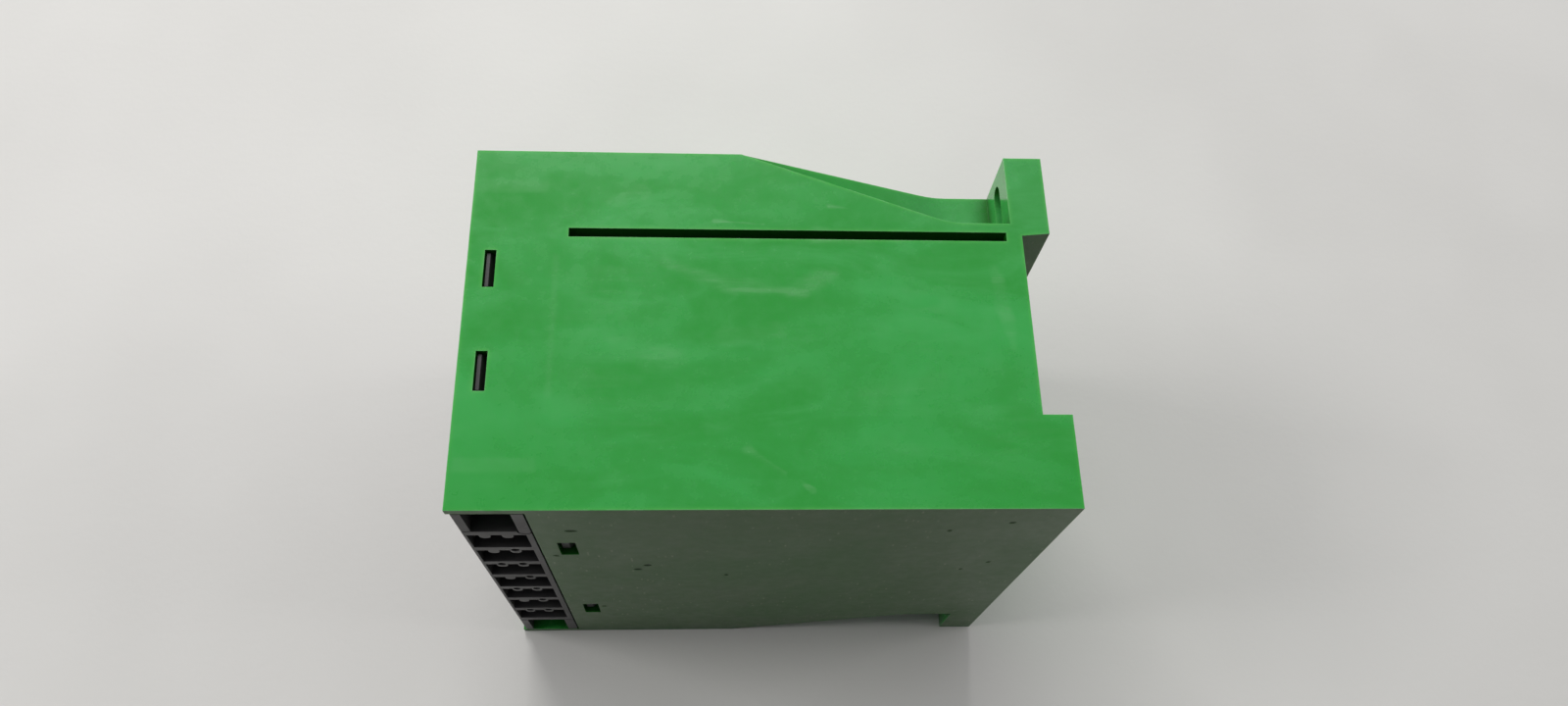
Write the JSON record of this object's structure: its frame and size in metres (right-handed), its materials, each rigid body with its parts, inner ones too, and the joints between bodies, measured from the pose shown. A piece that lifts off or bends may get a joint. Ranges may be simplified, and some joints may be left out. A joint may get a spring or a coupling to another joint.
{
  "type": "solid state relay",
  "caption": "Box-shaped solid state relay for a mounting rail, with a green housing, pluggable terminal headers on both sides and diagonal screw ears.",
  "frame": {"origin": "middle of the side wall that the relay lies on, at its lowest level", "axes": "+X from the front towards the mounting rail, +Y from the near header to the far header, +Z from the side wall it lies on to the other side wall"},
  "size_m": [0.1072, 0.07, 0.0988],
  "materials": {
    "housing_plastic": "green moulded ABS, fine grain, slightly shiny, scuffed",
    "frame_plastic": "black moulded polyamide",
    "cover_plastic": "dark smoked plastic",
    "strip_plastic": "blank white marking strip",
    "lens": "clear red plastic",
    "tinned_metal": "tin-plated brass",
    "board": "green solder mask on glass epoxy",
    "aluminium": "plain extruded aluminium",
    "module_resin": "black moulding resin",
    "pad_rubber": "grey silicone pad",
    "varistor_resin": "blue epoxy coat",
    "capacitor_resin": "ochre plastic case",
    "resistor_ceramic": "beige lacquer",
    "spring_steel": "zinc-plated steel"
  },
  "bodies": {
    "housing": {"catch_spring": "spring_steel", "contact_pin_far_1": "tinned_metal", "contact_pin_far_2": "tinned_metal", "contact_pin_far_3": "tinned_metal", "contact_pin_far_4": "tinned_metal", "contact_pin_far_5": "tinned_metal", "contact_pin_far_6": "tinned_metal", "contact_pin_far_7": "tinned_metal", "contact_pin_near_1": "tinned_metal", "contact_pin_near_2": "tinned_metal", "contact_pin_near_3": "tinned_metal", "contact_pin_near_4": "tinned_metal", "contact_pin_near_5": "tinned_metal", "contact_pin_near_6": "tinned_metal", "contact_pin_near_7": "tinned_metal", "control_board": "board", "control_link": "frame_plastic", "front_board": "board", "front_cover": "cover_plastic", "front_frame": "frame_plastic", "header_far": "frame_plastic", "header_near": "frame_plastic", "heat_sink": "aluminium", "housing_shell": "housing_plastic", "insulating_pad": "pad_rubber", "led_1": "lens", "led_2": "lens", "light_guide_1": "lens", "light_guide_2": "lens", "marking_strip": "strip_plastic", "module_screw_1": "spring_steel", "module_screw_2": "spring_steel", "module_screw_3": "spring_steel", "optocoupler_1": "module_resin", "optocoupler_2": "module_resin", "optocoupler_3": "module_resin", "power_board": "board", "power_link": "frame_plastic", "power_module_1": "module_resin", "power_module_2": "module_resin", "power_module_3": "module_resin", "snubber_capacitor_1": "capacitor_resin", "snubber_capacitor_2": "capacitor_resin", "snubber_capacitor_3": "capacitor_resin", "snubber_resistor_1": "resistor_ceramic", "snubber_resistor_2": "resistor_ceramic", "snubber_resistor_3": "resistor_ceramic", "supply_capacitor": "module_resin", "varistor_1": "varistor_resin", "varistor_2": "varistor_resin", "varistor_3": "varistor_resin"},
    "rail_catch": {"rail_catch": "frame_plastic"}
  },
  "joints": [
    {"name": "catch_slide", "type": "slide", "parent": "housing", "child": "rail_catch", "axis": [0, 1, 0], "range_m": [0, 0.003], "stiffness_N_per_m": 200, "springref_m": -0.002, "deforming": ["catch_spring"]}
  ]
}
